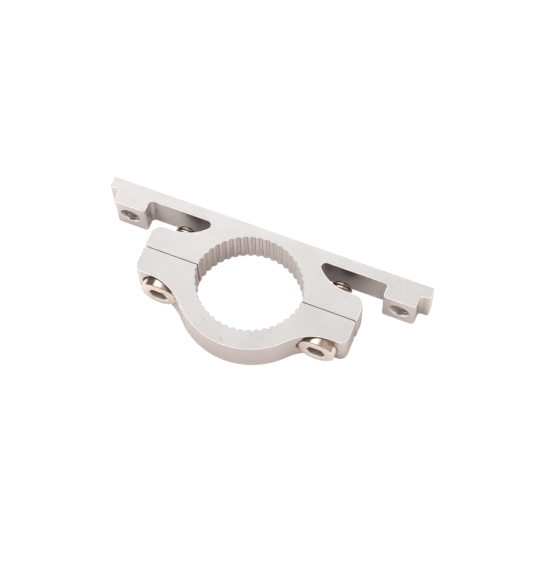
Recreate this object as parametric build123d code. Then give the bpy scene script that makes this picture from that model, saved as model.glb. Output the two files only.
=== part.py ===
"""Two-piece tube clamp bracket with a bolted half ring cap, in millimetres.

X runs along the cross bar, +Y points from the cap to the bar, and +Z runs along the
axis of the tube. The origin is on the clamp's axis, in the bottom face, where the
parting plane (y = 0) crosses it.
"""

import os
from math import cos, hypot, radians, sin, sqrt, tan

from build123d import *

# Overall
thickness = 9.5
mid_z = thickness / 2
edge_break = 0.2

# How near a place has to be to a face or an arc to count as on it
face_tolerance = 0.001
bore_tolerance = 0.05

# Bore: an arc in each half, the two moved towards each other by half of the kerf.
# The kerf opens again when the clamp is closed on a tube.
kerf = 2.9
land_radius = 12.26
groove_depth = 0.33
groove_radius = 0.5
groove_pitch_angle = 7.7
parting_gap = 0.2
parting_chamfer = 0.3

# Cross bar
bar_half_length = 37.9
bar_back_y = 13.5
bar_front_y = 10.65
bar_back_radius = 0.35
bar_front_radius = 0.5

# End bosses, each with an M5 thread along Y
boss_spacing = 64.0
boss_front_y = 7.5
boss_inner_x = 28.1
boss_outer_x = 35.65
boss_inner_radius = 0.6
boss_outer_radius = 0.9
boss_root_radius = 0.8
thread_mean_radius = 2.3
thread_entry_radius = 2.42

# Bracket ears, each with an M5 thread along Y, and the slots behind them
ear_half_width = 24.85
ear_back_y = 5.86
ear_corner_radius = 2.5
slot_blend_radius = 9.3
slot_blend_x = 20.3
slot_end_radius = 1.0

# Half ring cap, which sits a little to one side in the play of its screw holes
cap_half_width = 24.75
cap_offset_x = -0.1
cap_ear_front_y = -6.0
cap_corner_radius = 1.8
cap_blend_radius = 12.0
ring_outer_radius = 16.9
ring_centre_y = 1.5

# M5 x 12 socket head cap screws
screw_spacing = 37.0
screw_seat_y = -3.15
screw_length = 12.0
seat_clearance = 0.02
shank_radius = 2.45
shank_tip_chamfer = 0.6
ear_thread_radius = 2.5
cap_hole_radius = 2.75
counterbore_radius = 4.4
head_radius = 4.2
head_height = 5.0
head_rim_radius = 0.5
head_seat_chamfer = 0.2
hex_across_flats = 4.0
hex_depth = 2.5
hex_floor_half_angle = 60.0

SIDES = {"left": -1, "right": 1}


def box_profile(x_low, x_high, y_low, y_high):
    """Return a rectangle between two corners."""
    centre = Pos((x_low + x_high) / 2, (y_low + y_high) / 2)
    return centre * Rectangle(x_high - x_low, y_high - y_low)


def corner(profile, x, y):
    """Return the profile's vertex nearest to a point."""
    return min(profile.vertices(), key=lambda v: hypot(v.X - x, v.Y - y))


def rounded(profile, corners):
    """Round corners of a profile, given as (x, y, radius)."""
    for x, y, radius in corners:
        profile = fillet(corner(profile, x, y), radius)
    return profile


def both_sides(half):
    """Return a profile of the right half joined to its mirror image."""
    return half + mirror(half, about=Plane.YZ)


def y_cylinder(x, y_low, y_high, radius):
    """Return a cylinder along Y at mid thickness."""
    return Pos(x, (y_low + y_high) / 2, mid_z) * Rot(90, 0, 0) * Cylinder(radius, y_high - y_low)


def y_cone(x, y_low, y_high, low_radius, high_radius):
    """Return a cone along Y at mid thickness, with its radius at each end."""
    cone = Cone(low_radius, high_radius, y_high - y_low)
    return Pos(x, (y_low + y_high) / 2, mid_z) * Rot(-90, 0, 0) * cone


def serrated_bore(side):
    """Return the bore's profile in the bracket (side 1) or in the cap (side -1).

    One rounded groove stands in the middle of the arc, with the others to each side of
    it at an even pitch.
    """
    centre_y = -side * kerf / 2
    groove_ring_radius = land_radius + groove_depth - groove_radius
    profile = Pos(0, centre_y) * Circle(land_radius)
    steps_each_way = round(90 / groove_pitch_angle)
    for step in range(-steps_each_way, steps_each_way + 1):
        angle = radians(step * groove_pitch_angle)
        x = groove_ring_radius * sin(angle)
        y = centre_y + side * groove_ring_radius * cos(angle)
        if side * y > 0:
            profile += Pos(x, y) * Circle(groove_radius)
    return profile


def slot_profile():
    """Return the right slot, up to the boss's inner side.

    Its front wall rises from the ear's back face in one large arc, and a small arc
    closes it against the bar.
    """
    blend_y = ear_back_y + slot_blend_radius
    end_x = slot_blend_x - sqrt(slot_blend_radius**2 - (blend_y - bar_front_y) ** 2)
    closed_end = box_profile(end_x, slot_blend_x, ear_back_y, bar_front_y)
    closed_end = closed_end & (Pos(slot_blend_x, blend_y) * Circle(slot_blend_radius))
    open_end = box_profile(slot_blend_x, boss_inner_x, ear_back_y, bar_front_y)
    return rounded(closed_end + open_end, [(end_x, bar_front_y, slot_end_radius)])


def bracket_profile():
    """Return the bracket's outline without its bore."""
    half = box_profile(0, ear_half_width, parting_gap / 2, bar_back_y)
    half += box_profile(0, bar_half_length, bar_front_y, bar_back_y)
    half += box_profile(boss_inner_x, boss_outer_x, boss_front_y, bar_back_y)
    half -= slot_profile()
    corners = [
        (bar_half_length, bar_back_y, bar_back_radius),
        (bar_half_length, bar_front_y, bar_front_radius),
        (boss_outer_x, bar_front_y, boss_root_radius),
        (boss_outer_x, boss_front_y, boss_outer_radius),
        (boss_inner_x, boss_front_y, boss_inner_radius),
        (boss_inner_x, bar_front_y, boss_root_radius),
        (ear_half_width, ear_back_y, ear_corner_radius),
    ]
    half = rounded(half, corners)
    half = chamfer(corner(half, ear_half_width, 0), parting_chamfer)
    return both_sides(half)


def cap_profile():
    """Return the cap's outline without its bore.

    A large hollow arc leads from each ear's front face into the ring's outer arc, and
    touches both.
    """
    rise = ring_centre_y - cap_ear_front_y + cap_blend_radius
    blend_x = sqrt((ring_outer_radius + cap_blend_radius) ** 2 - rise**2)
    share = ring_outer_radius / (ring_outer_radius + cap_blend_radius)
    touch_y = ring_centre_y - rise * share
    half = box_profile(0, cap_half_width, cap_ear_front_y, -parting_gap / 2)
    web = box_profile(0, blend_x, touch_y, cap_ear_front_y)
    half += web - Pos(blend_x, cap_ear_front_y - cap_blend_radius) * Circle(cap_blend_radius)
    ring = Pos(0, ring_centre_y) * Circle(ring_outer_radius)
    below = box_profile(0, cap_half_width, ring_centre_y - ring_outer_radius, -parting_gap / 2)
    half += ring & below
    half = rounded(half, [(cap_half_width, cap_ear_front_y, cap_corner_radius)])
    half = chamfer(corner(half, cap_half_width, 0), parting_chamfer)
    return both_sides(half)


def outer_edges(solid, side):
    """Return the edges of both flat faces that lie round the outside of a half.

    The parting face and the serrated bore keep their sharp edges.
    """
    found = []
    for edge in solid.edges():
        point = edge @ 0.5
        in_face = min(abs(point.Z), abs(point.Z - thickness)) < face_tolerance
        flat = abs((edge @ 0).Z - (edge @ 1).Z) < face_tolerance
        parting = abs(point.Y) < parting_gap
        from_bore_axis = hypot(point.X, point.Y + side * kerf / 2)
        bore = from_bore_axis < land_radius + groove_depth + bore_tolerance
        if in_face and flat and not parting and not bore:
            found.append(edge)
    return found


def make_bracket():
    """Return the bar with its bosses, half ring and ears, in one piece."""
    solid = extrude(bracket_profile() - serrated_bore(1), thickness)
    solid = fillet(outer_edges(solid, 1), edge_break)
    entry_depth = thread_entry_radius - thread_mean_radius
    for side in SIDES.values():
        x = side * boss_spacing / 2
        solid -= y_cylinder(x, boss_front_y, bar_back_y, thread_mean_radius)
        front_end = boss_front_y + entry_depth
        solid -= y_cone(x, boss_front_y, front_end, thread_entry_radius, thread_mean_radius)
        back_end = bar_back_y - entry_depth
        solid -= y_cone(x, back_end, bar_back_y, thread_mean_radius, thread_entry_radius)
        ear_x = side * screw_spacing / 2
        solid -= y_cylinder(ear_x, 0, ear_back_y + ear_corner_radius, ear_thread_radius)
    return solid


def make_cap():
    """Return the front half ring with its two counterbored ears."""
    solid = extrude(cap_profile() - serrated_bore(-1), thickness)
    solid = fillet(outer_edges(solid, -1), edge_break)
    for side in SIDES.values():
        x = side * screw_spacing / 2
        solid -= y_cylinder(x, screw_seat_y, 0, cap_hole_radius)
        solid -= y_cylinder(x, -ring_outer_radius, screw_seat_y, counterbore_radius)
    return Pos(cap_offset_x, 0, 0) * solid


def make_screw(x):
    """Return a socket head cap screw along +Y, with its head at the front."""
    under_head = screw_seat_y - seat_clearance
    top = under_head - head_height
    tip = under_head + screw_length
    head = y_cylinder(x, top, under_head, head_radius)
    head = fillet(head.edges().group_by(Axis.Y)[0], head_rim_radius)
    head = chamfer(head.edges().group_by(Axis.Y)[-1], head_seat_chamfer)
    shank = y_cylinder(x, top + head_height / 2, tip, shank_radius)
    shank = chamfer(shank.edges().group_by(Axis.Y)[-1], shank_tip_chamfer)
    outline = Plane(origin=(x, top, mid_z), x_dir=(1, 0, 0), z_dir=(0, 1, 0))
    hexagon = RegularPolygon(hex_across_flats / 2, 6, major_radius=False)
    socket = extrude(outline * hexagon, hex_depth)
    floor_y = top + hex_depth
    floor_depth = hex_across_flats / 2 / tan(radians(hex_floor_half_angle))
    floor = y_cone(x, floor_y, floor_y + floor_depth, hex_across_flats / 2, 0)
    return head + shank - socket - floor


def main():
    """Write each node to its own STEP file."""
    os.makedirs("parts", exist_ok=True)
    nodes = {"bracket": make_bracket(), "clamp_cap": make_cap()}
    for name, side in SIDES.items():
        nodes[f"{name}_clamp_screw"] = make_screw(side * screw_spacing / 2)
    for name, solid in nodes.items():
        solid.label = name
        export_step(solid, f"parts/{name}.step")


main()
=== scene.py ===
"""Looks of a two-piece tube clamp bracket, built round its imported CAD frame.

The bracket and its cap keep their CAD shapes and get a linished and anodised aluminium
finish. The clamp screws are turned here with their real threads and sockets, and each
boss gets the thread that its plain CAD bore stands for.
"""

import logging
from collections.abc import Callable
from dataclasses import dataclass, field
from enum import Enum
from math import cos, pi, radians, sin, tan

import bmesh
import bpy
from mathutils import Matrix, Vector


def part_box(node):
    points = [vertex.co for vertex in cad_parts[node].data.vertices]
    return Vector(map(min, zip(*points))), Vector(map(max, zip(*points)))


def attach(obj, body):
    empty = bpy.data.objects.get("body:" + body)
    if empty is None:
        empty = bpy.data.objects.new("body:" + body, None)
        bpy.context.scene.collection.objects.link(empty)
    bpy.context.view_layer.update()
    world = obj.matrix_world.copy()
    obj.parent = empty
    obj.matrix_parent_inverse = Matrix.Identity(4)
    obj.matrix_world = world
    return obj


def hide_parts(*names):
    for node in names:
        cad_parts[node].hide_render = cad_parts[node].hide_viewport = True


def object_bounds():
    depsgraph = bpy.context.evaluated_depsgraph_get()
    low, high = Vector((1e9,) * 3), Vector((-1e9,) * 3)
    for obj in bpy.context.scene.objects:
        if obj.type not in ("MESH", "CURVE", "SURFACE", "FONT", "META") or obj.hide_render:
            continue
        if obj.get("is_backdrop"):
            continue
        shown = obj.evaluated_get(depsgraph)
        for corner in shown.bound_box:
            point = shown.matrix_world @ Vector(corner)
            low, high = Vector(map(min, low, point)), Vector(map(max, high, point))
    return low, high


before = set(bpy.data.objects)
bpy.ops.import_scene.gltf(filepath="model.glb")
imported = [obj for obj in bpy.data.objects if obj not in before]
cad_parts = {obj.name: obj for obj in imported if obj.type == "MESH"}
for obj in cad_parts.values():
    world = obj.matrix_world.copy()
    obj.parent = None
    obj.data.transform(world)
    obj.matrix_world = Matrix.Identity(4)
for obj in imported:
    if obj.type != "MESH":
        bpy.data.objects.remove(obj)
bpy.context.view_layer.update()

MM = 0.001
Colour = tuple[float, float, float]
Socket = bpy.types.NodeSocket
log = logging.getLogger("tube_clamp")


class Side(Enum):
    """The two ends of the bracket, by the sign of X."""

    LEFT = -1
    RIGHT = 1

    @property
    def word(self) -> str:
        """Return the side's name as it stands in the names of nodes."""
        return self.name.lower()


class Grain(Enum):
    """Which way a surface's tool marks run, as stretch along X, Y and Z."""

    ALONG_BAR = (0.02, 1.0, 1.0)
    ALONG_TUBE = (1.0, 1.0, 0.03)
    ROUND_AXIS = (1.0, 0.7, 0.0)


# --- Shader building blocks ---------------------------------------------------------


class ShaderTree:
    """Adds nodes to one shader tree and joins them."""

    def __init__(self, tree: bpy.types.NodeTree) -> None:
        """Keep the node tree of a material, a world or a group."""
        self.tree = tree

    def add(self, kind: str, **settings: object) -> bpy.types.Node:
        """Add one node.

        Args:
            kind: The node's type name, without the "ShaderNode" in front.
            settings: Attributes to set on the node.

        Returns:
            The new node.
        """
        node = self.tree.nodes.new(f"ShaderNode{kind}")
        for name, value in settings.items():
            setattr(node, name, value)
        return node

    def feed(self, socket: Socket, value: object) -> None:
        """Link a socket to another socket, or set it to a plain value.

        Args:
            socket: The input to fill.
            value: An output socket, or a number, vector or colour.
        """
        if isinstance(value, Socket):
            self.tree.links.new(value, socket)
        else:
            socket.default_value = value

    def fill(self, node: bpy.types.Node, **values: object) -> bpy.types.Node:
        """Feed a node's inputs by name.

        Args:
            node: The node.
            values: The inputs by name, with _ for a space.

        Returns:
            The same node.
        """
        for name, value in values.items():
            self.feed(node.inputs[name.replace("_", " ")], value)
        return node

    def maths(self, operation: str, *values: object, clamp: bool = False) -> Socket:
        """Add a Math node.

        Args:
            operation: The node's operation.
            values: Its inputs, as sockets or numbers.
            clamp: Whether to keep the result between 0 and 1.

        Returns:
            The result's socket.
        """
        node = self.add("Math", operation=operation, use_clamp=clamp)
        for socket, value in zip(node.inputs, values):
            self.feed(socket, value)
        return node.outputs["Value"]

    def vector(self, operation: str, *values: object) -> bpy.types.Node:
        """Add a Vector Math node and return it, so that either output can be read.

        Args:
            operation: The node's operation.
            values: Its inputs, as sockets or vectors.

        Returns:
            The new node.
        """
        node = self.add("VectorMath", operation=operation)
        for socket, value in zip(node.inputs, values):
            self.feed(socket, value)
        return node

    def remap(self, value: object, low: object, high: object, to_low: float = 0.0,
              to_high: float = 1.0) -> Socket:
        """Map a range smoothly onto another, clamped at both ends.

        Args:
            value: The socket to map.
            low: The value that becomes to_low.
            high: The value that becomes to_high.
            to_low: The result at the low end.
            to_high: The result at the high end.

        Returns:
            The mapped value's socket.
        """
        node = self.add("MapRange", interpolation_type="SMOOTHSTEP")
        for socket, number in zip(node.inputs, (value, low, high, to_low, to_high)):
            self.feed(socket, number)
        return node.outputs["Result"]

    def mix(self, share: object, first: object, second: object,
            blend: str = "MIX") -> Socket:
        """Mix two colours.

        Args:
            share: How much of the second colour shows.
            first: The colour at share 0.
            second: The colour at share 1.
            blend: The blend type.

        Returns:
            The mixed colour's socket.
        """
        node = self.add("Mix", data_type="RGBA", blend_type=blend)
        self.feed(node.inputs[0], share)
        self.feed(node.inputs[6], rgba(first))
        self.feed(node.inputs[7], rgba(second))
        return node.outputs[2]

    def noise(self, coordinates: Socket, scale: float, detail: float = 3.0,
              roughness: float = 0.55) -> Socket:
        """Add a noise texture.

        Args:
            coordinates: Where to read it.
            scale: Features per metre of the coordinates.
            detail: How many finer layers it has.
            roughness: How strong the finer layers are.

        Returns:
            The noise, from about 0.2 to 0.8 round 0.5.
        """
        node = self.add("TexNoise")
        self.fill(node, Vector=coordinates, Scale=scale, Detail=detail, Roughness=roughness)
        return node.outputs["Fac"]

    def blend(self, share: object, first: object, second: object) -> Socket:
        """Mix two numbers.

        Args:
            share: How much of the second number shows.
            first: The number at share 0.
            second: The number at share 1.

        Returns:
            The mixed number's socket.
        """
        node = self.add("Mix", data_type="FLOAT")
        self.feed(node.inputs[0], share)
        self.feed(node.inputs[2], first)
        self.feed(node.inputs[3], second)
        return node.outputs[0]

    def toned(self, colour: object, tone: Socket) -> Socket:
        """Lighten and darken a colour.

        Args:
            colour: The colour.
            tone: How much lighter it becomes, as a share of it.

        Returns:
            The toned colour's socket.
        """
        bright = self.maths("ADD", tone, 1.0)
        grey = self.add("CombineColor")
        for channel in grey.inputs:
            self.feed(channel, bright)
        return self.mix(1.0, colour, grey.outputs["Color"], "MULTIPLY")

    def bump(self, height: Socket, normal: Socket, strength: float, distance: float) -> Socket:
        """Add a bump.

        Args:
            height: The height's socket.
            normal: The normal to start from.
            strength: How strongly it shows.
            distance: Metres that a height of 1 stands for.

        Returns:
            The bumped normal's socket.
        """
        node = self.add("Bump")
        self.fill(node, Strength=strength, Distance=distance, Height=height, Normal=normal)
        return node.outputs["Normal"]

    def from_axis(self, place: Socket) -> Socket:
        """Return how far a place is from the Y axis."""
        across = self.vector("MULTIPLY", place, (1.0, 0.0, 1.0))
        return self.vector("LENGTH", across.outputs["Vector"]).outputs["Value"]


class GroupTree(ShaderTree):
    """The tree of a node group, between its inputs and its outputs."""

    def __init__(self, tree: bpy.types.NodeTree) -> None:
        """Add the group's two ends.

        Args:
            tree: The group's node tree, with its sockets already made.
        """
        super().__init__(tree)
        self.source = tree.nodes.new("NodeGroupInput")
        self.target = tree.nodes.new("NodeGroupOutput")

    def given(self, name: str) -> Socket:
        """Return one of the group's inputs."""
        return self.source.outputs[name]

    def give(self, name: str, value: Socket) -> None:
        """Feed one of the group's outputs."""
        self.feed(self.target.inputs[name], value)


def bare_tree(owner: bpy.types.Material | bpy.types.World) -> ShaderTree:
    """Empty the nodes of a material or a world.

    Args:
        owner: The material or the world.

    Returns:
        Its tree.
    """
    owner.use_nodes = True
    owner.node_tree.nodes.clear()
    return ShaderTree(owner.node_tree)


def rgba(colour: object) -> object:
    """Return a plain colour with an alpha of 1, and anything else as it is."""
    if isinstance(colour, tuple) and len(colour) == 3:
        return (*colour, 1.0)
    return colour


@dataclass(frozen=True)
class EffectGroup:
    """A shader node group that several finishes share.

    Attributes:
        name: The group's name.
        inputs: Each input's socket type by name.
        outputs: Each output's socket type by name.
        build: Fills the group's tree.
    """

    name: str
    inputs: dict[str, str]
    outputs: dict[str, str]
    build: Callable[[GroupTree], None]

    def tree(self) -> bpy.types.NodeTree:
        """Return the group's tree, and make it the first time."""
        found = bpy.data.node_groups.get(self.name)
        if found:
            return found
        tree = bpy.data.node_groups.new(self.name, "ShaderNodeTree")
        for name, kind in self.inputs.items():
            tree.interface.new_socket(name, in_out="INPUT", socket_type=kind)
        for name, kind in self.outputs.items():
            tree.interface.new_socket(name, in_out="OUTPUT", socket_type=kind)
        self.build(GroupTree(tree))
        return tree

    def place(self, shader: ShaderTree, **values: object) -> bpy.types.Node:
        """Put the group in a tree, with its inputs by name, and return its node."""
        return shader.fill(shader.add("Group", node_tree=self.tree()), **values)


# Features in a metre of each noise, the share of the first of two, and where a mask
# starts and is full
FINE_LINES, BROAD_LINES, FINE_LINE_SHARE = 9000.0, 1700.0, 0.55
CLOUDS, SPECKLE, CLOUD_SHARE = 160.0, 2600.0, 0.6
SCRATCHES, SCRATCH_PATCHES = 2300.0, 420.0
SCRATCH_TURN, SCRATCH_STRETCH = radians(34), (0.16, 1.0, 0.5)
SCRATCH_LINE, SCRATCH_PATCH = (0.705, 0.735), (0.5, 0.62)
DINGS, DING_PATCHES = 330.0, 250.0
DING_SIZE, DING_PATCH = (0.075, 0.04), (0.58, 0.6)
EDGE_TURN, EDGE_PATCHES, EDGE_PATCH = (0.995, 0.93), 900.0, (0.3, 0.6, 0.45, 1.0)


def two_layers(group: GroupTree, first: Socket, second: Socket,
               first_share: float) -> Socket:
    """Add up two noises and give the sum as the group's tone.

    Args:
        group: The group's tree, with a Contrast input and a Tone output.
        first: The first noise.
        second: The second noise.
        first_share: The first one's share.

    Returns:
        The sum's socket.
    """
    second_part = group.maths("MULTIPLY", second, 1.0 - first_share)
    both = group.maths("ADD", group.maths("MULTIPLY", first, first_share), second_part)
    centred = group.maths("SUBTRACT", both, 0.5)
    group.give("Tone", group.maths("MULTIPLY", centred, group.given("Contrast")))
    return both


def build_tool_marks(group: GroupTree) -> None:
    """Fill the group of long fine lines that a belt, a saw or a die leaves.

    Args:
        group: The group's tree.
    """
    stretched = group.vector("MULTIPLY", group.given("Coordinates"), group.given("Stretch"))
    place = stretched.outputs["Vector"]
    fine = group.noise(place, FINE_LINES, 2.0, 0.6)
    broad = group.noise(place, BROAD_LINES, 2.0, 0.5)
    group.give("Height", two_layers(group, fine, broad, FINE_LINE_SHARE))


def build_mottle(group: GroupTree) -> None:
    """Fill the group of soft clouds and fine speckle on a handled metal surface.

    Args:
        group: The group's tree.
    """
    clouds = group.noise(group.given("Coordinates"), CLOUDS, 2.0, 0.5)
    speckle = group.noise(group.given("Coordinates"), SPECKLE, 3.0, 0.65)
    two_layers(group, clouds, speckle, CLOUD_SHARE)
    group.give("Clouds", clouds)


def build_nicks(group: GroupTree) -> None:
    """Fill the group of short scratches and small dings, few and far apart.

    Args:
        group: The group's tree.
    """
    place = group.given("Coordinates")
    turned = group.add("VectorRotate", rotation_type="AXIS_ANGLE")
    group.fill(turned, Vector=place, Axis=(0.0, 0.0, 1.0), Angle=SCRATCH_TURN)
    long_way = group.vector("MULTIPLY", turned.outputs["Vector"], SCRATCH_STRETCH)
    lines = group.noise(long_way.outputs["Vector"], SCRATCHES, 1.0, 0.4)
    where = group.remap(group.noise(place, SCRATCH_PATCHES, 1.0), *SCRATCH_PATCH)
    scratches = group.maths("MULTIPLY", group.remap(lines, *SCRATCH_LINE), where)
    cells = group.add("TexVoronoi", feature="F1")
    group.fill(cells, Vector=place, Scale=DINGS, Randomness=1.0)
    chosen = group.remap(group.noise(place, DING_PATCHES, 1.0), *DING_PATCH)
    dings = group.maths("MULTIPLY", group.remap(cells.outputs["Distance"], *DING_SIZE), chosen)
    marks = group.maths("MAXIMUM", scratches, dings)
    group.give("Mask", group.maths("MULTIPLY", marks, group.given("Amount"), clamp=True))


def build_edge_wear(group: GroupTree) -> None:
    """Fill the group that finds broken edges, from how the surface turns close by.

    Args:
        group: The group's tree.
    """
    rounded = group.fill(group.add("Bevel", samples=6), Radius=group.given("Width"))
    surface = group.add("NewGeometry")
    turn = group.vector("DOT_PRODUCT", rounded.outputs["Normal"], surface.outputs["Normal"])
    edge = group.remap(turn.outputs["Value"], *EDGE_TURN)
    patchy = group.remap(group.noise(group.given("Coordinates"), EDGE_PATCHES), *EDGE_PATCH)
    group.give("Mask", group.maths("MULTIPLY", edge, patchy))
    group.give("Normal", rounded.outputs["Normal"])


def build_recess(group: GroupTree) -> None:
    """Fill the group that finds the wall of a round recess on each side, along Y, and masks it for
    painted shade that deepens inwards, with a second mask for its mouth.

    Args:
        group: The group's tree.
    """
    apart = group.fill(group.add("SeparateXYZ"), Vector=group.given("Coordinates"))
    along = apart.outputs["Y"]
    from_middle = group.maths("SUBTRACT", apart.outputs["X"], group.given("Middle X"))
    outwards = group.maths("ABSOLUTE", from_middle)
    sideways = group.maths("SUBTRACT", outwards, group.given("Axis X"))
    upwards = group.maths("SUBTRACT", apart.outputs["Z"], group.given("Axis Z"))
    across = group.fill(group.add("CombineXYZ"), X=sideways, Z=upwards)
    radius = group.vector("LENGTH", across.outputs["Vector"]).outputs["Value"]
    within = group.maths("LESS_THAN", radius, group.given("Radius"))
    inside = group.maths("MULTIPLY", within, group.maths("LESS_THAN", along, group.given("End Y")))
    depth = group.remap(along, group.given("Mouth Y"), group.given("Dark Y"))
    group.give("Mask", group.maths("MULTIPLY", inside, depth))
    group.give("Mouth Mask", group.maths("MULTIPLY", inside, group.maths("SUBTRACT", 1.0, depth)))


FLOAT, VECTOR = "NodeSocketFloat", "NodeSocketVector"
TOOL_MARKS = EffectGroup(
    "tool_marks",
    {"Coordinates": VECTOR, "Stretch": VECTOR, "Contrast": FLOAT},
    {"Tone": FLOAT, "Height": FLOAT},
    build_tool_marks,
)
MOTTLE = EffectGroup(
    "mottle",
    {"Coordinates": VECTOR, "Contrast": FLOAT},
    {"Tone": FLOAT, "Clouds": FLOAT},
    build_mottle,
)
NICKS = EffectGroup(
    "nicks",
    {"Coordinates": VECTOR, "Amount": FLOAT},
    {"Mask": FLOAT},
    build_nicks,
)
RECESS = EffectGroup(
    "recess",
    {"Coordinates": VECTOR, "Middle X": FLOAT, "Axis X": FLOAT, "Axis Z": FLOAT, "Radius": FLOAT,
     "Mouth Y": FLOAT, "Dark Y": FLOAT, "End Y": FLOAT},
    {"Mask": FLOAT, "Mouth Mask": FLOAT},
    build_recess,
)
EDGE_WEAR = EffectGroup(
    "edge_wear",
    {"Coordinates": VECTOR, "Width": FLOAT},
    {"Mask": FLOAT, "Normal": VECTOR},
    build_edge_wear,
)


# --- Finishes -----------------------------------------------------------------------


def new_material(name: str) -> tuple[bpy.types.Material, ShaderTree, bpy.types.Node]:
    """Make an empty material with its Principled shader.

    Args:
        name: The material's name.

    Returns:
        The material, its tree and its Principled shader.
    """
    material = bpy.data.materials.new(name)
    shader = bare_tree(material)
    principled = shader.add("BsdfPrincipled")
    shader.fill(shader.add("OutputMaterial"), Surface=principled.outputs["BSDF"])
    return material, shader, principled


@dataclass(frozen=True)
class RoundRecess:
    """A round recess along Y, darkened inside with painted shade.

    Attributes:
        radius: Just over its radius.
        mouth_y: Where the painted shade starts.
        dark_y: Where the painted shade is darkest.
        end_y: Where it ends.
        axis_x: Distance of its axis to each side of the middle.
        axis_z: Height of its axis.
        middle_x: The middle that it stands to each side of.
    """

    radius: float
    mouth_y: float
    dark_y: float
    end_y: float
    axis_x: float = 0.0
    axis_z: float = 0.0
    middle_x: float = 0.0

    def masks(self, shader: ShaderTree, place: Socket) -> tuple[Socket, Socket]:
        """Return the mask of the painted shade inside the recess and the mask of its mouth."""
        node = RECESS.place(
            shader, Coordinates=place, Middle_X=self.middle_x, Axis_X=self.axis_x, Axis_Z=self.axis_z,
            Radius=self.radius, Mouth_Y=self.mouth_y, Dark_Y=self.dark_y, End_Y=self.end_y,
        )
        return node.outputs["Mask"], node.outputs["Mouth Mask"]


@dataclass(frozen=True)
class SatinAluminium:
    """Anodised aluminium whose two flat faces are linished along the bar.

    Attributes:
        name: The material's name.
        recess: Where painted shade darkens a recess, if anywhere.
        face_colour: The linished top and bottom faces.
        wall_colour: The extruded walls between them, darker and warmer than the faces: partly their
            anodised finish, partly painted shade and a painted warm reflection.
        recess_shade_colour: The painted shade in the recess.
        edge_wear_and_highlight_colour: Broken edges, where bare metal shows, and a painted highlight
            along every rounded edge.
        mark_colour: Small scratches and dings.
        face_roughness: Roughness of the flat faces.
        wall_roughness: Roughness of the walls.
        edge_width: Width of the broken edge, in metres.
        nick_amount: How strongly the small damage shows.
        flat_tilt: The upward parts of the normal from a wall to a flat face.
        edge_tilt: Those from a wall to a rounded edge.
        edge_end_tilt: Those from a flat face back to a rounded edge.
        tone_gloss: How much smoother the lighter places are.
        edge_roughness: Roughness that the edges have more.
        edge_powder: How matt the edges are.
        recess_powder: How matt the painted shade is.
        nick_depth: Depth of the damage against the tool marks.
        least_roughness: The smoothest that it gets.
    """

    name: str
    recess: RoundRecess | None = None
    face_colour: Colour = (0.625, 0.627, 0.628)
    wall_colour: Colour = (0.58, 0.522, 0.508)
    recess_shade_colour: Colour = (0.44, 0.37, 0.34)
    edge_wear_and_highlight_colour: Colour = (0.97, 0.95, 0.93)
    mark_colour: Colour = (0.50, 0.48, 0.47)
    face_roughness: float = 0.45
    wall_roughness: float = 0.25
    edge_width: float = 0.12 * MM
    nick_amount: float = 0.8
    flat_tilt: tuple[float, float] = (0.8, 0.97)
    edge_tilt: tuple[float, float] = (0.12, 0.35)
    edge_end_tilt: tuple[float, float] = (0.995, 0.94)
    tone_gloss: float = 0.25
    edge_roughness: float = 0.3
    edge_powder: float = 0.93
    recess_powder: float = 0.6
    nick_depth: float = 1.5
    least_roughness: float = 0.12

    def material(self) -> bpy.types.Material:
        """Return the finish as a material."""
        material, shader, principled = new_material(self.name)
        coordinates = shader.add("TexCoord")
        place = coordinates.outputs["Object"]
        upright = shader.fill(shader.add("SeparateXYZ"), Vector=coordinates.outputs["Normal"])
        tilt = shader.maths("ABSOLUTE", upright.outputs["Z"])
        face = shader.remap(tilt, *self.flat_tilt)
        edge_end = shader.remap(tilt, *self.edge_end_tilt)
        # Painted highlight: every rounded edge is whitened by the slope of its normal.
        fillet_highlight = shader.maths("MULTIPLY", shader.remap(tilt, *self.edge_tilt), edge_end)

        belt = TOOL_MARKS.place(shader, Coordinates=place, Stretch=Grain.ALONG_BAR.value, Contrast=0.15)
        die = TOOL_MARKS.place(shader, Coordinates=place, Stretch=Grain.ALONG_TUBE.value, Contrast=0.16)
        mottle = MOTTLE.place(shader, Coordinates=place, Contrast=0.22)
        nicks = NICKS.place(shader, Coordinates=place, Amount=self.nick_amount).outputs["Mask"]
        wear = EDGE_WEAR.place(shader, Coordinates=place, Width=self.edge_width)

        tone = shader.blend(face, die.outputs["Tone"], belt.outputs["Tone"])
        tone = shader.maths("ADD", tone, mottle.outputs["Tone"])
        # The walls are darker and warmer than the faces: partly their anodised finish, partly painted
        # shade and a painted warm reflection.
        base = shader.toned(shader.mix(face, self.wall_colour, self.face_colour), tone)
        base = shader.mix(nicks, base, self.mark_colour)
        # Bare metal where the edges are worn, plus the painted highlight along every rounded edge.
        edge = shader.maths("MAXIMUM", wear.outputs["Mask"], fillet_highlight)
        base = shader.mix(edge, base, self.edge_wear_and_highlight_colour)
        powdery = shader.maths("MULTIPLY", edge, self.edge_powder)
        if self.recess:
            # Painted shade on the recess's wall, darker deeper in.
            painted_recess_shade, _ = self.recess.masks(shader, place)
            base = shader.mix(painted_recess_shade, base, self.recess_shade_colour)
            powdery = shader.maths("MAXIMUM", powdery, shader.maths("MULTIPLY", painted_recess_shade, self.recess_powder))
        shader.fill(principled, Base_Color=base, Metallic=shader.maths("SUBTRACT", 1.0, powdery))

        rough = shader.blend(face, self.wall_roughness, self.face_roughness)
        rough = shader.maths("SUBTRACT", rough, shader.maths("MULTIPLY", tone, self.tone_gloss))
        rough = shader.maths("ADD", rough, shader.maths("MULTIPLY", edge, self.edge_roughness))
        shader.feed(principled.inputs["Roughness"], shader.maths("MAXIMUM", rough, self.least_roughness))

        height = shader.blend(face, die.outputs["Height"], belt.outputs["Height"])
        height = shader.maths("SUBTRACT", height, shader.maths("MULTIPLY", nicks, self.nick_depth))
        normal = shader.bump(height, wear.outputs["Normal"], strength=0.22, distance=0.012 * MM)
        shader.feed(principled.inputs["Normal"], normal)
        return material


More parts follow.
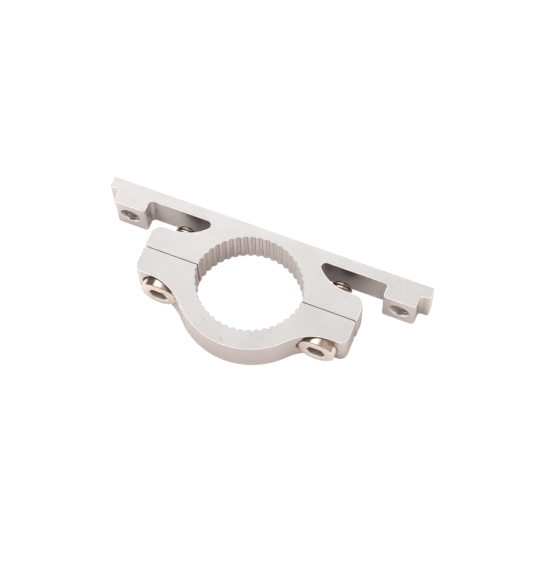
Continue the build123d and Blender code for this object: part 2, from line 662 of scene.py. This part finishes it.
@dataclass(frozen=True)
class TappedAluminium:
    """The freshly cut aluminium of a tapped thread.

    Attributes:
        name: The material's name.
        colour: The cut metal.
        root_colour: Darker colour towards the roots.
        roughness: Roughness of the flanks.
        root_darkening_share: How much of the root darkens.
        root_darkening_roughness: Roughness that the darker roots add.
    """

    name: str
    colour: Colour = (0.58, 0.525, 0.505)
    root_colour: Colour = (0.32, 0.28, 0.265)
    roughness: float = 0.42
    root_darkening_share: float = 0.85
    root_darkening_roughness: float = 0.25

    def material(self, crest_radius: float, root_radius: float) -> bpy.types.Material:
        """Return the finish for a thread along its own Y axis.

        Args:
            crest_radius: Radius where the thread is lightest.
            root_radius: Radius where it is darkest.

        Returns:
            The material.
        """
        material, shader, principled = new_material(self.name)
        place = shader.add("TexCoord").outputs["Object"]
        depth = shader.remap(shader.from_axis(place), crest_radius, root_radius)
        mottle = MOTTLE.place(shader, Coordinates=place, Contrast=0.4)
        uneven = shader.maths("ADD", mottle.outputs["Tone"], self.root_darkening_share)
        # Darker towards the roots, unevenly by the mottle.
        root_darkening = shader.maths("MULTIPLY", depth, uneven, clamp=True)
        shader.feed(principled.inputs["Base Color"], shader.mix(root_darkening, self.colour, self.root_colour))
        rough = shader.maths("ADD", shader.maths("MULTIPLY", root_darkening, self.root_darkening_roughness), self.roughness)
        shader.feed(principled.inputs["Roughness"], rough)
        principled.inputs["Metallic"].default_value = 1.0
        return material


@dataclass(frozen=True)
class NickelPlate:
    """Bright nickel plating over a turned steel screw.

    Attributes:
        name: The material's name.
        recess: The socket, darkened inside with painted shade.
        colour: The plating.
        worn_colour: Edges worn bright by a key or a thread.
        grime_colour: The film that stays in roots and corners.
        recess_shade_colour: The painted shade in the socket.
        mouth_glint_colour: The painted highlight on the chamfer at the socket's mouth.
        root_colour: Darker colour towards the thread's roots.
        roughness: Roughness of the clean plating.
        edge_width: Width of the rubbed edge, in metres.
        film: The clouds from no film to the most, with how much those are.
        root_radii: The radii over which the thread darkens towards its root.
        film_roughness: Roughness that the film adds.
        shade_and_glint_roughness: Roughness that the socket's painted shade and its mouth's painted
            highlight have more.
        tone_roughness: How much rougher the lighter places are.
        least_roughness: The smoothest that it gets.
        shade_and_glint_powder: How matt the socket's painted shade and its mouth's painted highlight are.
    """

    name: str
    recess: RoundRecess
    colour: Colour = (0.72, 0.635, 0.575)
    worn_colour: Colour = (0.86, 0.79, 0.75)
    grime_colour: Colour = (0.50, 0.40, 0.34)
    recess_shade_colour: Colour = (0.35, 0.265, 0.215)
    mouth_glint_colour: Colour = (0.98, 0.95, 0.93)
    root_colour: Colour = (0.28, 0.21, 0.18)
    roughness: float = 0.16
    edge_width: float = 0.08 * MM
    film: tuple[float, float, float, float] = (0.5, 0.75, 0.0, 0.35)
    root_radii: tuple[float, float] = (2.40 * MM, 2.15 * MM)
    film_roughness: float = 0.3
    shade_and_glint_roughness: float = 0.3
    tone_roughness: float = 0.35
    least_roughness: float = 0.06
    shade_and_glint_powder: float = 0.7

    def material(self) -> bpy.types.Material:
        """Return the finish as a material for a screw whose axis is its own Y axis."""
        material, shader, principled = new_material(self.name)
        place = shader.add("TexCoord").outputs["Object"]
        radius = shader.from_axis(place)
        apart = shader.fill(shader.add("SeparateXYZ"), Vector=place)
        turned = shader.fill(shader.add("CombineXYZ"), X=radius, Y=apart.outputs["Y"])
        lathe = TOOL_MARKS.place(
            shader, Coordinates=turned.outputs["Vector"], Stretch=Grain.ROUND_AXIS.value, Contrast=0.3)
        mottle = MOTTLE.place(shader, Coordinates=place, Contrast=0.2)
        wear = EDGE_WEAR.place(shader, Coordinates=place, Width=self.edge_width)
        tone = shader.maths("ADD", lathe.outputs["Tone"], mottle.outputs["Tone"])

        film = shader.remap(mottle.outputs["Clouds"], *self.film)
        base = shader.mix(film, self.colour, self.grime_colour)
        # Darker towards the thread's roots.
        base = shader.mix(shader.remap(radius, *self.root_radii), base, self.root_colour)
        base = shader.mix(wear.outputs["Mask"], shader.toned(base, tone), self.worn_colour)
        # Painted shade deeper in the socket, and a painted highlight on the chamfer at its mouth.
        socket, mouth = self.recess.masks(shader, place)
        base = shader.mix(socket, base, self.recess_shade_colour)
        base = shader.mix(mouth, base, self.mouth_glint_colour)
        shader.feed(principled.inputs["Base Color"], base)

        shade_and_glint = shader.maths("ADD", socket, mouth)
        dull = shader.maths("MULTIPLY", shade_and_glint, self.shade_and_glint_powder)
        shader.feed(principled.inputs["Metallic"], shader.maths("SUBTRACT", 1.0, dull))
        rough = self.roughness
        shares = {film: self.film_roughness, shade_and_glint: self.shade_and_glint_roughness, tone: self.tone_roughness}
        for mask, share in shares.items():
            rough = shader.maths("ADD", rough, shader.maths("MULTIPLY", mask, share))
        shader.feed(principled.inputs["Roughness"], shader.maths("MAXIMUM", rough, self.least_roughness))
        normal = shader.bump(
            lathe.outputs["Height"], wear.outputs["Normal"], strength=0.35, distance=0.004 * MM)
        shader.feed(principled.inputs["Normal"], normal)
        return material


# --- Meshes -------------------------------------------------------------------------


RadiusAt = Callable[[float], float]


@dataclass
class TurnedMesh:
    """A closed surface of rings round a Y axis, whose radius can change with the angle.

    Attributes:
        segments: Points in each ring.
        rings: Each ring's place on the axis with its radius at an angle, in metres.
    """

    segments: int = 96
    rings: list[tuple[float, RadiusAt]] = field(default_factory=list)

    def ring(self, along: float, radius: float | RadiusAt) -> None:
        """Add a ring, whose radius may be a function of the angle."""
        self.rings.append((along, radius if callable(radius) else lambda _angle, r=radius: r))

    def make(self, name: str, origin: Vector, pointed: bool = True) -> bpy.types.Object:
        """Join the rings into a mesh object.

        Args:
            name: The object's name.
            origin: Where its axis stands, which becomes the object's origin.
            pointed: Whether the first and last rings close on the axis. If not, the
                last ring joins the first one, as in a sleeve.

        Returns:
            The new object.
        """
        work = bmesh.new()
        loops = [self._loop(work, along, radius) for along, radius in self.rings]
        pairs = list(zip(loops, loops[1:]))
        if not pointed:
            pairs.append((loops[-1], loops[0]))
        for low, high in pairs:
            for step in range(self.segments):
                after = (step + 1) % self.segments
                work.faces.new((low[step], low[after], high[after], high[step]))
        if pointed:
            self._close(work, loops[0], self.rings[0][0])
            self._close(work, loops[-1], self.rings[-1][0])
        bmesh.ops.recalc_face_normals(work, faces=work.faces)
        mesh = bpy.data.meshes.new(name)
        work.to_mesh(mesh)
        work.free()
        made = bpy.data.objects.new(name, mesh)
        made.location = origin
        bpy.context.scene.collection.objects.link(made)
        return made

    def _loop(self, work: bmesh.types.BMesh, along: float, radius: RadiusAt) -> list[bmesh.types.BMVert]:
        """Add one ring's points.

        Args:
            work: The mesh being made.
            along: The ring's place on the axis.
            radius: Its radius at an angle.

        Returns:
            The points, in order.
        """
        points = []
        for step in range(self.segments):
            angle = 2 * pi * step / self.segments
            out = radius(angle)
            points.append(work.verts.new((out * cos(angle), along, out * sin(angle))))
        return points

    def _close(self, work: bmesh.types.BMesh, loop: list[bmesh.types.BMVert], along: float) -> None:
        """Close a ring with a fan to the axis.

        Args:
            work: The mesh being made.
            loop: The ring's points.
            along: Its place on the axis.
        """
        middle = work.verts.new((0.0, along, 0.0))
        for step in range(self.segments):
            work.faces.new((loop[step], loop[(step + 1) % self.segments], middle))


@dataclass(frozen=True)
class MetricThread:
    """A right-handed ISO thread along +Y, as a radius over the axis and the angle.

    Attributes:
        major_radius: Radius of the crests.
        depth: Height of the thread.
        pitch: Travel in one turn.
        crest_share: Part of the pitch that is flat at the crest.
        root_share: Part of the pitch that is flat at the root.
    """

    major_radius: float
    depth: float
    pitch: float
    crest_share: float = 0.14
    root_share: float = 0.22

    def radius(self, along: float, angle: float) -> float:
        """Return the thread's radius at a place.

        Args:
            along: Place on the axis.
            angle: Angle round it, from X towards Z.

        Returns:
            The radius there.
        """
        turn = (along / self.pitch + angle / (2 * pi)) % 1.0
        from_crest = abs(turn - 0.5) * 2
        flank = (from_crest - self.crest_share) / (1 - self.crest_share - self.root_share)
        return self.major_radius - self.depth * min(max(flank, 0.0), 1.0)


def shade_smooth(made: bpy.types.Object, crease: float = radians(32)) -> None:
    """Shade an object smooth, with edges sharper than the crease left hard.

    Args:
        made: The object.
        crease: The angle from which an edge stays hard.
    """
    mesh = made.data
    mesh.polygons.foreach_set("use_smooth", [True] * len(mesh.polygons))
    work = bmesh.new()
    work.from_mesh(mesh)
    for edge in work.edges:
        edge.smooth = len(edge.link_faces) == 2 and edge.calc_face_angle(0.0) < crease
    work.to_mesh(mesh)
    work.free()


def dress(made: bpy.types.Object, material: bpy.types.Material) -> None:
    """Give an object one material in place of all that it has."""
    made.data.materials.clear()
    made.data.materials.append(material)


# --- Sub-assemblies -----------------------------------------------------------------


@dataclass
class Bracket:
    """The bar with its bosses, half ring and ears, and the threads in its bosses.

    Attributes:
        finish: The aluminium's finish.
        thread_finish: The finish of the threads in the bosses.
        node: The CAD node.
        body: The body that it rides on.
        slot: The record's material slot; not used.
        boss_x: Distance of each boss from the middle.
        boss_front_y: The bosses' front face.
        entry_depth: Depth of the cone at each end of a boss's hole.
        wall_radius: Radius of the CAD bore.
        crest_radius: Radius of the thread's crests.
        sleeve_radius: Radius of the buried outside of the thread.
        fade: Length over which the thread runs out at each end.
        sink: How far past the wall it runs out.
        steps_per_pitch: Rings in one pitch.
    """

    finish: SatinAluminium
    thread_finish: TappedAluminium
    node: str = "bracket"
    body: str = "bracket_body"
    slot: str = "bracket_aluminium"
    boss_x: float = 32.0 * MM
    boss_front_y: float = 7.5 * MM
    entry_depth: float = 0.12 * MM
    wall_radius: float = 2.3 * MM
    crest_radius: float = 2.08 * MM
    sleeve_radius: float = 2.36 * MM
    fade: float = 0.5 * MM
    sink: float = 0.03 * MM
    steps_per_pitch: int = 12

    def build(self) -> None:
        """Dress the CAD node and cut the thread in each boss."""
        material = self.finish.material()
        dress(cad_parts[self.node], material)
        log.info("%s dressed in %s", self.node, material.name)
        thread_material = self.thread_finish.material(self.crest_radius, self.wall_radius)
        for side in Side:
            made = self._boss_thread(side)
            dress(made, thread_material)
            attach(made, self.body)
            log.info("%s rides on %s", made.name, self.body)

    def _boss_thread(self, side: Side) -> bpy.types.Object:
        """Make one boss's thread, as a thin sleeve let into the bore's wall.

        Args:
            side: Which boss.

        Returns:
            The thread's object.
        """
        low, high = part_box(self.node)
        start = self.boss_front_y + self.entry_depth
        end = high.y - self.entry_depth
        depth = self.wall_radius - self.crest_radius
        thread = MetricThread(self.wall_radius, depth, pitch=0.8 * MM, crest_share=0.3, root_share=0.14)
        count = round((end - start) / thread.pitch * self.steps_per_pitch)
        sleeve = TurnedMesh(segments=72)
        sleeve.ring(end, self.sleeve_radius)
        sleeve.ring(start, self.sleeve_radius)
        for step in range(count + 1):
            along = start + (end - start) * step / count
            inset = min(along - start, end - along) / self.fade
            sunk = (1 - min(inset, 1.0)) * (depth + self.sink)
            sleeve.ring(along, lambda angle, y=along, s=sunk: thread.radius(y, angle) + s)
        origin = Vector((side.value * self.boss_x, 0.0, (low.z + high.z) / 2))
        made = sleeve.make(f"{side.word}_boss_thread", origin, pointed=False)
        shade_smooth(made)
        return made


@dataclass
class ClampCap:
    """The front half ring with its counterbored ears.

    Attributes:
        finish: The aluminium's finish.
        node: The CAD node.
    """

    finish: SatinAluminium
    node: str = "clamp_cap"

    def build(self) -> None:
        """Dress the CAD node."""
        dress(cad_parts[self.node], self.finish.material())
        log.info("%s dressed in %s", self.node, self.finish.name)


@dataclass
class ClampScrew:
    """An M5 socket head cap screw, turned in place of its plain CAD node.

    Its length, its axis and its head's radius come from the CAD node's box.

    Attributes:
        side: Which ear it is in.
        finish: The plating.
        slot: The record's material slot; not used.
        head_height: Height of the head.
        rim_width: Width of the bevel round the head's face, along the radius.
        rim_depth: Its depth along the axis.
        seat_chamfer: Chamfer under the head.
        hex_across_flats: Size of the socket.
        hex_depth: Depth of the socket's flats.
        hex_corner_radius: Furthest that the socket's corners reach.
        flare_depth: Depth over which the socket's mouth opens out.
        flare_growth: How far it opens out.
        flare_power: How late it opens out.
        flare_steps: Bands of faces in it.
        drill_half_angle: Half of the angle of the point at the socket's bottom.
        drill_share: That point's radius against the flats.
        fillet: Radius of the fillet under the head.
        fillet_middle: Its middle, along the axis and out from the neck.
        neck_radius: Radius of the plain neck under the head.
        neck_length: Length of the neck.
        thread: The screw's thread.
        tip_chamfer: Chamfer at the tip.
        steps_per_pitch: Rings in one pitch.
    """

    side: Side
    finish: NickelPlate
    slot: str = "screw_steel"
    head_height: float = 5.0 * MM
    rim_width: float = 0.5 * MM
    rim_depth: float = 0.3 * MM
    seat_chamfer: float = 0.2 * MM
    hex_across_flats: float = 4.0 * MM
    hex_depth: float = 2.5 * MM
    hex_corner_radius: float = 2.26 * MM
    flare_depth: float = 0.8 * MM
    flare_growth: float = 0.24 * MM
    flare_power: float = 1.6
    flare_steps: int = 5
    drill_half_angle: float = radians(60)
    drill_share: float = 0.985
    fillet: float = 0.25 * MM
    fillet_middle: tuple[float, float] = (0.08 * MM, 0.06 * MM)
    neck_radius: float = 2.2 * MM
    neck_length: float = 0.5 * MM
    thread: MetricThread = MetricThread(2.45 * MM, 0.42 * MM, 0.8 * MM, crest_share=0.36, root_share=0.16)
    tip_chamfer: float = 0.6 * MM
    steps_per_pitch: int = 14

    @property
    def node(self) -> str:
        """Return the CAD node that the screw stands for."""
        return f"{self.side.word}_clamp_screw"

    def build(self) -> None:
        """Turn the screw, plate it and put it in its ear."""
        low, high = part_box(self.node)
        origin = Vector(((low.x + high.x) / 2, 0.0, (low.z + high.z) / 2))
        blank = TurnedMesh()
        self._socket(blank, low.y)
        self._head(blank, low.y, (high.x - low.x) / 2)
        self._shank(blank, low.y + self.head_height, high.y)
        made = blank.make(f"{self.side.word}_cap_screw", origin)
        shade_smooth(made)
        dress(made, self.finish.material())
        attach(made, f"{self.side.word}_screw_body")
        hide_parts(self.node)
        log.info("%s rides on %s_screw_body", made.name, self.side.word)

    def _hex_radius(self, angle: float, grow: float = 0.0) -> float:
        """Return the socket's radius at an angle, with its corners a little rounded.

        Args:
            angle: Angle round the screw's axis.
            grow: How far the flats stand out beyond their size.

        Returns:
            The radius there.
        """
        from_flat = angle % (pi / 3) - pi / 6
        flat = self.hex_across_flats / 2 + grow
        return min(flat / cos(from_flat), self.hex_corner_radius + grow)

    def _socket(self, blank: TurnedMesh, top: float) -> None:
        """Add the socket, from the drill point at its bottom to its chamfered mouth.

        Args:
            blank: The screw's rings.
            top: The head's front face.
        """
        flat = self.hex_across_flats / 2
        bottom = top + self.hex_depth
        point = bottom + flat / tan(self.drill_half_angle)
        for share in (0.04, 0.35, 0.7):
            blank.ring(bottom + (point - bottom) * (1 - share), flat * share)
        blank.ring(bottom, flat * self.drill_share)
        blank.ring(bottom, self._hex_radius)
        flats = self.hex_depth - self.flare_depth
        for share in (0.66, 0.33):
            blank.ring(top + self.flare_depth + flats * share, self._hex_radius)
        for step in range(self.flare_steps + 1):
            share = step / self.flare_steps
            along = top + self.flare_depth * (1 - share)
            grown = self.flare_growth * share**self.flare_power
            blank.ring(along, lambda angle, g=grown: self._hex_radius(angle, g))

    def _head(self, blank: TurnedMesh, top: float, radius: float) -> None:
        """Add the head's face, bevelled rim, side and seat.

        Args:
            blank: The screw's rings.
            top: The head's front face.
            radius: The head's radius.
        """
        seat = top + self.head_height
        inner = radius - self.rim_width
        for share in (0.35, 0.7, 1.0):
            blank.ring(top, (self.hex_corner_radius + self.flare_growth) * (1 - share) + inner * share)
        blank.ring(top + self.rim_depth, radius)
        for share in (0.3, 0.6):
            blank.ring(top + self.head_height * share, radius)
        blank.ring(seat - self.seat_chamfer, radius)
        blank.ring(seat, radius - self.seat_chamfer)
        blank.ring(seat, self.neck_radius + self.fillet)
        along, out = self.fillet_middle
        blank.ring(seat + along, self.neck_radius + out)

    def _shank(self, blank: TurnedMesh, seat: float, tip: float) -> None:
        """Add the neck, the thread and the chamfered tip.

        Args:
            blank: The screw's rings.
            seat: Where the head ends.
            tip: The screw's end.
        """
        start = seat + self.neck_length
        blank.ring(seat + self.fillet, self.neck_radius)
        count = round((tip - start) / self.thread.pitch * self.steps_per_pitch)
        small = self.thread.major_radius - self.tip_chamfer
        for step in range(count + 1):
            along = start + (tip - start) * step / count
            run_in = min((along - start) / self.thread.pitch, 1.0)
            limit = small + (tip - along)
            blank.ring(along, lambda angle, y=along, r=run_in, m=limit: min(
                self.neck_radius + (self.thread.radius(y, angle) - self.neck_radius) * r, m))
        for share in (0.9, 0.4):
            blank.ring(tip, small * share)


# --- Studio -------------------------------------------------------------------------


@dataclass
class ProductCamera:
    """The camera, by the direction that it looks from.

    Attributes:
        azimuth: Degrees round from the front, towards +X.
        elevation: Degrees above the floor.
        roll: Degrees of turn about its own axis.
        distance: Metres from the plane through the origin.
        aim_right: How far right of the view's centre the origin lies, in metres.
        aim_up: How far above the view's centre the origin lies, in metres.
        lens: Focal length for the sensor, in millimetres.
        sensor: The sensor's long side, in millimetres.
    """

    azimuth: float = 24.383
    elevation: float = 66.160
    roll: float = -2.858
    distance: float = 367.104 * MM
    aim_right: float = -3.5351 * MM
    aim_up: float = -3.8558 * MM
    lens: float = 105.04
    sensor: float = 36.0

    def build(self) -> None:
        """Create the camera and make it the scene's."""
        around, above, turn = (radians(v) for v in (self.azimuth, self.elevation, self.roll))
        back = Vector((sin(around) * cos(above), -cos(around) * cos(above), sin(above)))
        right = Vector((cos(around), sin(around), 0.0))
        up = back.cross(right)
        right, up = right * cos(turn) + up * sin(turn), up * cos(turn) - right * sin(turn)
        data = bpy.data.cameras.new("camera")
        data.lens = self.lens
        data.sensor_width = self.sensor
        data.clip_start = 0.01
        data.clip_end = 20.0
        camera = bpy.data.objects.new("camera", data)
        turned = Matrix((right, up, back)).transposed().to_4x4()
        place = back * self.distance - right * self.aim_right - up * self.aim_up
        camera.matrix_world = Matrix.Translation(place) @ turned
        bpy.context.scene.collection.objects.link(camera)
        bpy.context.scene.camera = camera
        log.info("camera at %s", tuple(round(v, 4) for v in place))


@dataclass
class Softbox:
    """A large soft light that faces the object.

    Attributes:
        name: The light's name.
        direction: Where it stands, seen from the object.
        distance: Metres from the object.
        width: Metres across.
        height: Metres up.
        radiance: How bright its surface is.
        mirrored: Whether glossy surfaces reflect it. If not, it only lights matt ones.
    """

    name: str
    direction: tuple[float, float, float]
    distance: float
    width: float
    height: float
    radiance: float
    mirrored: bool = True

    def build(self) -> None:
        """Create the light."""
        data = bpy.data.lights.new(self.name, "AREA")
        data.shape = "RECTANGLE"
        data.size = self.width
        data.size_y = self.height
        data.energy = self.radiance * pi * self.width * self.height
        lamp = bpy.data.objects.new(self.name, data)
        lamp.visible_glossy = self.mirrored
        away = Vector(self.direction).normalized()
        lamp.location = away * self.distance
        lamp.rotation_euler = away.to_track_quat("Z", "Y").to_euler()
        bpy.context.scene.collection.objects.link(lamp)
        log.info("%s placed", self.name)


@dataclass(frozen=True)
class RoomSide:
    """A bright side of the room, which fades out away from its direction.

    Attributes:
        direction: Towards it, as a unit vector.
        fade: The cosines to that direction at which it starts and is full.
        colour: Its full colour.
    """

    direction: tuple[float, float, float]
    fade: tuple[float, float]
    colour: Colour


@dataclass
class Studio:
    """The pale floor, the surroundings and the lights.

    Attributes:
        floor_half: Half of the floor's side.
        floor_gap: How far the floor lies under the object.
        floor_seen: Brightness of the floor in the picture.
        floor_shadow: How strongly the object's shadow shows on it.
        floor_albedo: How white the floor is to the metal.
        floor_glow: How much it glows by itself, as a lit table does.
        floor_pool: The distances between which the painted pool of light on the floor round it ends.
        floor_stretch: How much each axis counts in those distances.
        floor_far: The painted darker floor beyond that pool, as the metal sees it.
        room: The bright sides of the room.
        dark: Colour of the rest of the room.
        lights: The soft lights.
    """

    floor_half: float = 3.0
    floor_gap: float = 0.02 * MM
    floor_seen: float = 0.98
    floor_shadow: float = 0.06
    floor_albedo: float = 0.92
    floor_glow: float = 0.04
    floor_pool: tuple[float, float] = (26.0 * MM, 46.0 * MM)
    floor_stretch: tuple[float, float, float] = (0.62, 1.0, 0.0)
    floor_far: Colour = (0.27, 0.22, 0.19)
    room: tuple[RoomSide, ...] = (
        RoomSide((0.0, 1.0, 0.0), (0.50, 0.80), (0.80, 0.79, 0.78)),
        RoomSide((1.0, 0.0, 0.0), (0.12, 0.60), (0.50, 0.42, 0.38)),
        RoomSide((0.0, -1.0, 0.0), (0.40, 0.85), (0.16, 0.13, 0.115)),
        RoomSide((0.0, -0.50, 0.866), (0.92, 0.98), (0.36, 0.35, 0.34)),
    )
    dark: Colour = (0.19, 0.152, 0.134)
    lights: tuple[Softbox, ...] = (
        Softbox("overhead_softbox", (-0.30, 0.57, 0.82), 0.40, 0.364, 0.37, 1.54),
        Softbox("overhead_front_softbox", (0.0835, -0.100, 0.991), 0.40, 0.335, 0.175, 0.60),
        Softbox("floor_wash", (-0.15, 0.0, 1.0), 0.9, 1.0, 1.0, 1.38, mirrored=False),
        Softbox("front_floor_wash", (-0.45, -0.35, 0.82), 0.9, 0.3, 0.3, 8.6, mirrored=False),
    )

    def build(self) -> None:
        """Lay the floor, set the surroundings and hang the lights."""
        bpy.context.scene.view_settings.view_transform = "Standard"
        self._floor()
        self._world()
        for light in self.lights:
            light.build()

    def _floor(self) -> None:
        """Lay the floor, which is white in the picture and warm in reflections, with a painted pool of
        light round the object.
        """
        low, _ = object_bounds()
        work = bmesh.new()
        bmesh.ops.create_grid(work, x_segments=1, y_segments=1, size=self.floor_half)
        mesh = bpy.data.meshes.new("floor")
        work.to_mesh(mesh)
        work.free()
        floor = bpy.data.objects.new("floor", mesh)
        floor.location = (0.0, 0.0, low[2] - self.floor_gap)
        bpy.context.scene.collection.objects.link(floor)
        material = bpy.data.materials.new("pale_floor")
        shader = bare_tree(material)
        seen = self._glowing_matt(shader, self.floor_seen, (self.floor_shadow,) * 3)
        place = shader.add("TexCoord").outputs["Object"]
        narrowed = shader.vector("MULTIPLY", place, self.floor_stretch).outputs["Vector"]
        away = shader.vector("LENGTH", narrowed).outputs["Value"]
        # Painted pool of light: to the metal, the floor darkens away from the object.
        beyond = shader.remap(away, *self.floor_pool)
        colour = shader.mix(beyond, (self.floor_albedo,) * 3, self.floor_far)
        felt = self._glowing_matt(shader, self.floor_glow, colour)
        path = shader.add("LightPath")
        choice = shader.add("MixShader")
        for socket, value in zip(choice.inputs, (path.outputs["Is Camera Ray"], felt, seen)):
            shader.feed(socket, value)
        shader.fill(shader.add("OutputMaterial"), Surface=choice.outputs["Shader"])
        dress(floor, material)
        floor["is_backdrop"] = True
        log.info("floor laid")

    @staticmethod
    def _glowing_matt(shader: ShaderTree, strength: float, colour: object) -> Socket:
        """Add a matt surface that also glows white.

        Args:
            shader: The tree.
            strength: The glow's strength.
            colour: How much light it gives back, as a socket or a colour.

        Returns:
            The shader's socket.
        """
        glow = shader.fill(shader.add("Emission"), Strength=strength)
        matt = shader.fill(shader.add("BsdfDiffuse"), Color=rgba(colour))
        both = shader.add("AddShader")
        shader.feed(both.inputs[0], glow.outputs["Emission"])
        shader.feed(both.inputs[1], matt.outputs["BSDF"])
        return both.outputs["Shader"]

    def _world(self) -> None:
        """Set the surroundings, white to the camera and a part-dark room to the metal."""
        world = bpy.data.worlds.new("studio")
        bpy.context.scene.world = world
        shader = bare_tree(world)
        towards = shader.add("TexCoord").outputs["Generated"]
        room = rgba(self.dark)
        for side in self.room:
            facing = shader.vector("DOT_PRODUCT", towards, side.direction).outputs["Value"]
            share = shader.remap(facing, *side.fade)
            room = shader.mix(share, room, side.colour, "ADD")
        path = shader.add("LightPath")
        seen = shader.mix(path.outputs["Is Camera Ray"], room, (1.0, 1.0, 1.0))
        background = shader.fill(shader.add("Background"), Color=seen)
        shader.fill(shader.add("OutputWorld"), Surface=background.outputs["Background"])
        log.info("surroundings set")


def main() -> None:
    """Build the camera, the sub-assemblies and the studio in order."""
    logging.basicConfig(level=logging.INFO, format="%(name)s: %(message)s")
    ProductCamera().build()
    Bracket(SatinAluminium("bracket_satin_aluminium"), TappedAluminium("boss_thread_aluminium")).build()
    # Painted shade on the walls of the counterbores round the screw heads.
    counterbore = RoundRecess(
        radius=4.43 * MM, mouth_y=-9.0 * MM, dark_y=-6.6 * MM, end_y=0.0,
        axis_x=18.5 * MM, axis_z=4.75 * MM, middle_x=-0.1 * MM)
    ClampCap(SatinAluminium("cap_satin_aluminium", counterbore)).build()
    # Painted shade deeper in each hex socket, and a painted highlight at its mouth.
    socket = RoundRecess(radius=2.52 * MM, mouth_y=-7.98 * MM, dark_y=-7.70 * MM, end_y=-4.0 * MM)
    ClampScrew(Side.LEFT, NickelPlate("left_screw_nickel", socket)).build()
    ClampScrew(Side.RIGHT, NickelPlate("right_screw_nickel", socket)).build()
    Studio().build()


if __name__ == "__main__":
    main()
